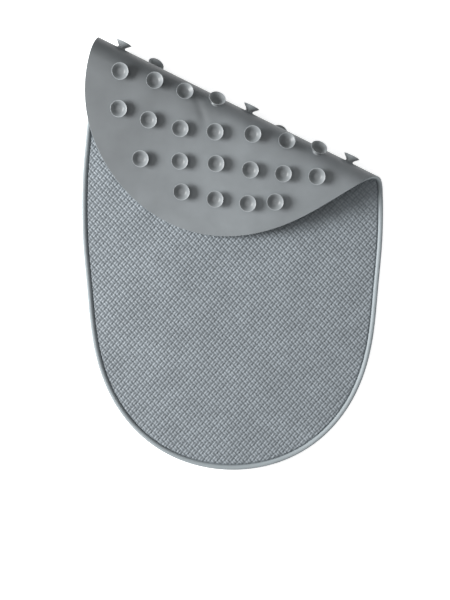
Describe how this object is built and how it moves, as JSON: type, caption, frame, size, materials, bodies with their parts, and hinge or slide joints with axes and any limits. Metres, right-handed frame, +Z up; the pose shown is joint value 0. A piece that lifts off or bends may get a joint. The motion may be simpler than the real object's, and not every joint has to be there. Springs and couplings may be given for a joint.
{
  "type": "bath mat",
  "caption": "Oval woven-look rubber bath or shower mat with a raised rim and suction cups underneath, one end folded over",
  "frame": {"origin": "middle of the footprint of the mat with its end folded over, at the plane of the suction cups' lips", "axes": "+Z up; +Y along the mat's length towards the folded end; +X across the mat"},
  "size_m": [0.4002, 0.5698, 0.0633],
  "materials": {
    "tread_rubber": "satin",
    "rim_rubber": "satin",
    "cup_rubber": "satin"
  },
  "bodies": {
    "mat_main": {"cup_row_01": "cup_rubber", "cup_row_02": "cup_rubber", "cup_row_03": "cup_rubber", "cup_row_04": "cup_rubber", "cup_row_05": "cup_rubber", "cup_row_06": "cup_rubber", "cup_row_07": "cup_rubber", "cup_row_08": "cup_rubber", "cup_row_09": "cup_rubber", "cup_row_10": "cup_rubber", "cup_row_11": "cup_rubber", "cup_row_12": "cup_rubber", "cup_row_13": "cup_rubber", "cup_row_14": "cup_rubber", "cup_row_15": "cup_rubber", "cup_row_16": "cup_rubber", "cup_row_17": "cup_rubber", "rim_bead_main": "rim_rubber", "tread_sheet": "tread_rubber"},
    "bend_1": {"fold_cup_1a": "cup_rubber", "fold_cup_1b": "cup_rubber", "fold_cup_1c": "cup_rubber", "fold_strip_1": "tread_rubber"},
    "bend_2": {"fold_cup_2a": "cup_rubber", "fold_strip_2": "tread_rubber"},
    "bend_3": {"fold_cup_3a": "cup_rubber", "fold_strip_3": "tread_rubber"},
    "bend_4": {"fold_cup_4a": "cup_rubber", "fold_cup_4b": "cup_rubber", "fold_cup_4c": "cup_rubber", "fold_strip_4": "tread_rubber"},
    "bend_5": {"fold_strip_5": "tread_rubber"},
    "bend_6": {"fold_cup_6a": "cup_rubber", "fold_cup_6b": "cup_rubber", "fold_strip_6": "tread_rubber"},
    "bend_7": {"fold_cup_7a": "cup_rubber", "fold_cup_7b": "cup_rubber", "fold_cup_7c": "cup_rubber", "fold_cup_7d": "cup_rubber", "fold_strip_7": "tread_rubber"},
    "flap": {"flap_cup_01": "cup_rubber", "flap_cup_02": "cup_rubber", "flap_cup_03": "cup_rubber", "flap_cup_04": "cup_rubber", "flap_cup_05": "cup_rubber", "flap_cup_06": "cup_rubber", "flap_cup_07": "cup_rubber", "flap_cup_08": "cup_rubber", "flap_cup_09": "cup_rubber", "flap_cup_10": "cup_rubber", "flap_cup_11": "cup_rubber", "flap_cup_12": "cup_rubber", "flap_cup_13": "cup_rubber", "flap_cup_14": "cup_rubber", "flap_cup_15": "cup_rubber", "flap_sheet": "tread_rubber", "rim_bead_flap": "rim_rubber"}
  },
  "joints": [
    {"name": "bend_hinge_1", "type": "hinge", "parent": "mat_main", "child": "bend_1", "pos_m": [0.04261, 0.15111, 0.0085], "axis": [0.8949, -0.4462, 0], "range_deg": [-14.06, 0.2]},
    {"name": "bend_hinge_2", "type": "hinge", "parent": "bend_1", "child": "bend_2", "pos_m": [0.04732, 0.16056, 0.0111], "axis": [0.8949, -0.4462, 0], "range_deg": [-27.91, 0.2]},
    {"name": "bend_hinge_3", "type": "hinge", "parent": "bend_2", "child": "bend_3", "pos_m": [0.05095, 0.16784, 0.01832], "axis": [0.8949, -0.4462, 0], "range_deg": [-27.91, 0.2]},
    {"name": "bend_hinge_4", "type": "hinge", "parent": "bend_3", "child": "bend_4", "pos_m": [0.05267, 0.17128, 0.02849], "axis": [0.8949, -0.4462, 0], "range_deg": [-27.91, 0.2]},
    {"name": "bend_hinge_5", "type": "hinge", "parent": "bend_4", "child": "bend_5", "pos_m": [0.05208, 0.1701, 0.03928], "axis": [0.8949, -0.4462, 0], "range_deg": [-27.91, 0.2]},
    {"name": "bend_hinge_6", "type": "hinge", "parent": "bend_5", "child": "bend_6", "pos_m": [0.04931, 0.16455, 0.04822], "axis": [0.8949, -0.4462, 0], "range_deg": [-27.91, 0.2]},
    {"name": "bend_hinge_7", "type": "hinge", "parent": "bend_6", "child": "bend_7", "pos_m": [0.04501, 0.15593, 0.05325], "axis": [0.8949, -0.4462, 0], "range_deg": [-27.91, 0.2]},
    {"name": "unroll", "type": "hinge", "parent": "bend_7", "child": "flap", "pos_m": [0.04016, 0.1462, 0.05323], "axis": [0.8949, -0.4462, 0], "range_deg": [-13.86, 0]}
  ],
  "couplings": [
    {"joint": "bend_hinge_1", "follows": "unroll", "ratio": 1},
    {"joint": "bend_hinge_2", "follows": "unroll", "ratio": 2},
    {"joint": "bend_hinge_3", "follows": "unroll", "ratio": 2},
    {"joint": "bend_hinge_4", "follows": "unroll", "ratio": 2},
    {"joint": "bend_hinge_5", "follows": "unroll", "ratio": 2},
    {"joint": "bend_hinge_6", "follows": "unroll", "ratio": 2},
    {"joint": "bend_hinge_7", "follows": "unroll", "ratio": 2}
  ]
}
